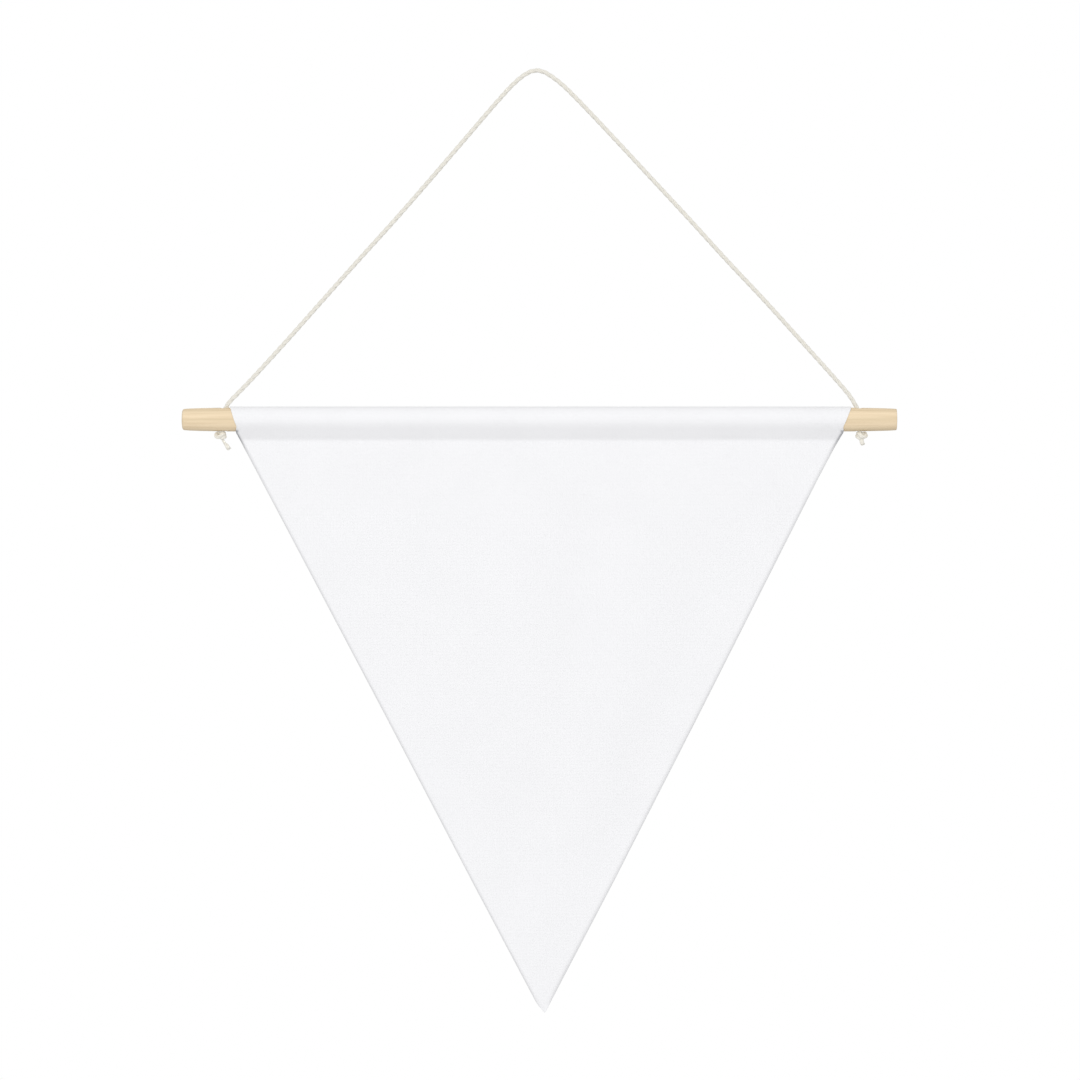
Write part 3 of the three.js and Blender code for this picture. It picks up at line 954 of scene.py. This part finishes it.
def add_canvas(tree, settings):
    """Plain-woven bleached polyester canvas: matt, with a fine even grid of threads. Its threads
    are about 0.35 mm apart and drawn at 0.6 mm, because finer ones don't show from a step away."""
    uv = add_node(tree, "ShaderNodeUVMap", uv_map="cloth")
    split = add_node(tree, "ShaderNodeSeparateXYZ", (uv,))
    waves, threads = [], []
    for name in "XY":
        turns = add_node(tree, "ShaderNodeMath", (
            split.outputs[name], pi / settings.thread_spacing), operation="MULTIPLY")
        waves.append(add_node(tree, "ShaderNodeMath", (turns,), operation="SINE"))
        threads.append(add_node(tree, "ShaderNodeMath", (waves[-1],), operation="ABSOLUTE"))
    product = add_node(tree, "ShaderNodeMath", waves, operation="MULTIPLY")
    over = add_node(tree, "ShaderNodeMath", (product, 0.0), operation="GREATER_THAN")
    weave = add_node(tree, "ShaderNodeMix", {0: over, 2: threads[0], 3: threads[1]}, data_type="FLOAT")
    place = add_node(tree, "ShaderNodeTexCoord").outputs["Object"]
    slub = add_node(tree, "ShaderNodeTexNoise", {
        "Vector": place, "Scale": 1 / SLUB_SIZE, "Detail": 4.0, "Roughness": 0.55})
    height = add_node(tree, "ShaderNodeMath", (slub, 1.2, weave), operation="MULTIPLY_ADD")
    uneven = add_node(tree, "ShaderNodeMath", (weave, 0.25, slub), operation="MULTIPLY_ADD")
    dull = [part * SLUB_SHARE for part in settings.colour]
    tone = add_node(tree, "ShaderNodeValToRGB", {"Fac": uneven},
        stops=[(0.35, dull), (0.85, settings.colour)])
    # The painted shade along the turned edges, strongest in the crook under the dowel.
    shade = add_node(tree, "ShaderNodeAttribute", attribute_name="edge_shade")
    edged = add_node(tree, "ShaderNodeMix", {
        0: shade.outputs["Fac"], 6: tone, 7: (*settings.shade_colour, 1)}, data_type="RGBA")
    bump = add_node(tree, "ShaderNodeBump", {"Height": height, "Strength": 0.6, "Distance": 0.09 * MM})
    return add_node(tree, "ShaderNodeBsdfPrincipled", {
        "Base Color": edged.outputs[2], "Roughness": 0.85, "Specular IOR Level": 0.2,
        "Sheen Weight": 0.08, "Sheen Roughness": 0.5, "Normal": bump})


# Stitches

STITCH_PITCH = 2.6 * MM
STITCH_LENGTH = 2.1 * MM
THREAD_RADIUS = 0.14 * MM
THREAD_TWIST = 0.4 * MM
# The seam's place: below the sleeve's seam height, in from the side edges, and how far its thread
# stands out behind and is drawn into the cloth in front.
SEAM_BELOW = 1.6 * MM
SEAM_INSET = 2.5 * MM
PROUD_BEHIND = 0.02 * MM
SUNK_IN_FRONT = 0.05 * MM


def add_thread(tree):
    """White sewing thread, spun and plied: smooth, and a little shinier than the cloth."""
    place = add_node(tree, "ShaderNodeTexCoord").outputs["Object"]
    twist = add_node(tree, "ShaderNodeTexNoise", {
        "Vector": place, "Scale": 1 / THREAD_TWIST, "Detail": 2.0})
    tone = add_node(tree, "ShaderNodeValToRGB", {"Fac": twist},
        stops=[(0.3, linear("E9E9EC")), (0.7, linear("F7F7F9"))])
    return add_node(tree, "ShaderNodeBsdfPrincipled", {
        "Base Color": tone, "Roughness": 0.6, "Specular IOR Level": 0.35})


def add_stitches(tree, given):
    """Nodes that set a short rounded thread at even steps along each line."""
    line = add_node(tree, "GeometryNodeMeshToCurve", {"Mesh": given["Geometry"]})
    even = add_node(tree, "GeometryNodeResampleCurve", {"Curve": line, "Length": given["Pitch"]},
        mode="LENGTH")
    ball = add_node(tree, "GeometryNodeMeshUVSphere", {"Segments": 8, "Rings": 6, "Radius": 1.0})
    half = add_node(tree, "ShaderNodeMath", (given["Stitch length"], 0.5), operation="MULTIPLY")
    size = add_node(tree, "ShaderNodeCombineXYZ", {
        "X": given["Thread radius"], "Y": given["Thread radius"], "Z": half})
    tangent = add_node(tree, "GeometryNodeInputTangent")
    turn = add_node(tree, "FunctionNodeAlignRotationToVector", {"Vector": tangent}, axis="Z")
    return add_node(tree, "GeometryNodeInstanceOnPoints", {
        "Points": even, "Instance": ball, "Rotation": turn, "Scale": size})


def seam_lines(settings):
    """The seam on the back of the hem and on the front of the panel, just under the sleeve."""
    drop = SEAM_DROP + SEAM_BELOW
    left, right = outline_at(drop)
    points, edges = [], []
    for back in (settings.thickness + PROUD_BEHIND, SUNK_IN_FRONT - settings.thickness):
        edges.append((len(points), len(points) + 1))
        for x in (left + SEAM_INSET, right - SEAM_INSET):
            points.append(DOWEL_MIDDLE + Vector((x, back, -drop)))
    mesh = bpy.data.meshes.new("seam_lines")
    mesh.from_pydata(points, edges, [])
    return mesh


# Operators

class PENNANT_OT_stage(bpy.types.Operator):
    """Sets up the camera, the white room, the two softboxes and the floor"""
    bl_idname = "pennant.stage"
    bl_label = "Stage"

    def execute(self, context):
        settings = context.scene.pennant_stage
        make_camera(settings)
        make_room(settings.surround)
        make_softbox("softbox", settings.softbox, SOFTBOX_PLACE)
        make_softbox("fill", settings.fill, FILL_PLACE)
        make_floor()
        context.scene.view_settings.view_transform = "Standard"
        return {"FINISHED"}


class PENNANT_OT_cord(bpy.types.Operator):
    """Lays the twisted cord through both holes and ties its knots"""
    bl_idname = "pennant.cord"
    bl_label = "Cord and knots"

    def execute(self, context):
        settings = context.scene.pennant_cord
        cotton = new_material("twisted_cotton", add_cotton, settings, CORD_GROOVE)
        line, length = cord_line(CORD_STEP)
        mesh = rope_mesh("hanging_cord", line, settings, CORD_STRAND_SIDES)
        cord = new_piece("hanging_cord", mesh, cotton)
        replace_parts(cord, "cord")
        shared = (line[HOLE_STEPS] - line[0]).length
        turn = 2 * pi / settings.lay
        left_end, right_end = line[HOLE_STEPS::-1], line[-1 - HOLE_STEPS:]
        # The knots' cotton is a lighter copy, painted light, and the frayed fibres' has almost no painted
        # groove shade.
        cottons = (new_material("knotted_cotton", add_cotton, settings, KNOT_GROOVE),
                   new_material("frayed_cotton", add_cotton, settings, FRAY_GROOVE))
        pieces = tie_knot(settings, cottons, "left", left_end, -turn * shared)
        pieces += tie_knot(settings, cottons, "right", right_end, turn * (length - shared))
        return {"FINISHED"}


class PENNANT_OT_dowel(bpy.types.Operator):
    """Turns the wooden dowel and drills its two holes"""
    bl_idname = "pennant.dowel"
    bl_label = "Dowel"

    def execute(self, context):
        blank = new_object("dowel_blank", dowel_mesh())
        blank.data.transform(Matrix.Translation(DOWEL_MIDDLE))
        drills = []
        for x, worn_side in HOLES:
            drill = new_object("drill", drill_mesh(worn_side))
            drill.location = DOWEL_MIDDLE + Vector((x, 0, 0))
            cut = blank.modifiers.new("hole", "BOOLEAN")
            cut.operation = "DIFFERENCE"
            cut.solver = "EXACT"
            cut.object = drill
            drills.append(drill)
        mesh = settled_mesh(blank, "wooden_dowel")
        for drill in drills:
            bpy.data.objects.remove(drill, do_unlink=True)
        wood = new_material("sanded_pale_wood", add_wood, context.scene.pennant_dowel)
        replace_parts(new_piece("wooden_dowel", mesh, wood), "dowel")
        return {"FINISHED"}


class PENNANT_OT_stitches(bpy.types.Operator):
    """Sews the hem behind the sleeve with a row of straight stitches"""
    bl_idname = "pennant.stitches"
    bl_label = "Stitches"

    def execute(self, context):
        thread = new_material("white_thread", add_thread)
        lines = seam_lines(context.scene.pennant_cloth)
        inputs = {"Pitch": STITCH_PITCH, "Stitch length": STITCH_LENGTH,
                  "Thread radius": THREAD_RADIUS}
        mesh = grown_mesh("sleeve_stitches", lines, add_stitches, inputs, thread)
        mesh.polygons.foreach_set("use_smooth", [True] * len(mesh.polygons))
        new_piece("sleeve_stitches", mesh, thread)
        return {"FINISHED"}


class PENNANT_OT_cloth(bpy.types.Operator):
    """Hangs the cloth: sleeve round the dowel, hem behind and panel down to the tip"""
    bl_idname = "pennant.cloth"
    bl_label = "Cloth"

    def execute(self, context):
        seam = bpy.data.objects.get("sleeve_stitches")
        if seam is None:
            raise RuntimeError("the stitches are sewn before the cloth is hung")
        settings = context.scene.pennant_cloth
        sheet = new_object("sheet", cloth_mesh(settings))
        thick = sheet.modifiers.new("thickness", "SOLIDIFY")
        thick.thickness = settings.thickness
        thick.offset = 0
        mesh = settled_mesh(sheet, "pennant_cloth")
        canvas = new_material("white_woven_canvas", add_canvas, settings)
        cloth = new_piece("pennant_cloth", mesh, canvas)
        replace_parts(cloth, "flag")
        return {"FINISHED"}


class PENNANT_PT_panel(bpy.types.Panel):
    """Lists the steps that build the pennant flag"""
    bl_idname = "PENNANT_PT_panel"
    bl_label = "Pennant"
    bl_space_type = "VIEW_3D"
    bl_region_type = "UI"
    bl_category = "Pennant"

    def draw(self, context):
        for operator in OPERATORS:
            self.layout.operator(operator.bl_idname)
        for name in SETTINGS:
            box = self.layout.box()
            group = getattr(context.scene, name)
            for key in group.__annotations__:
                box.prop(group, key)


OPERATORS = [PENNANT_OT_stage, PENNANT_OT_cord, PENNANT_OT_dowel, PENNANT_OT_stitches,
             PENNANT_OT_cloth]
SETTINGS = {"pennant_stage": PennantStage, "pennant_cord": PennantCord,
            "pennant_dowel": PennantDowel, "pennant_cloth": PennantCloth}


def register():
    for kind in [*SETTINGS.values(), *OPERATORS, PENNANT_PT_panel]:
        bpy.utils.register_class(kind)
    for name, kind in SETTINGS.items():
        setattr(bpy.types.Scene, name, PointerProperty(type=kind))


def unregister():
    for name in SETTINGS:
        delattr(bpy.types.Scene, name)
    for kind in reversed([*SETTINGS.values(), *OPERATORS, PENNANT_PT_panel]):
        bpy.utils.unregister_class(kind)


def main():
    register()
    bpy.ops.pennant.stage()
    bpy.ops.pennant.cord()
    bpy.ops.pennant.dowel()
    bpy.ops.pennant.stitches()
    bpy.ops.pennant.cloth()
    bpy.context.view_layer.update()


if __name__ == "__main__":
    main()
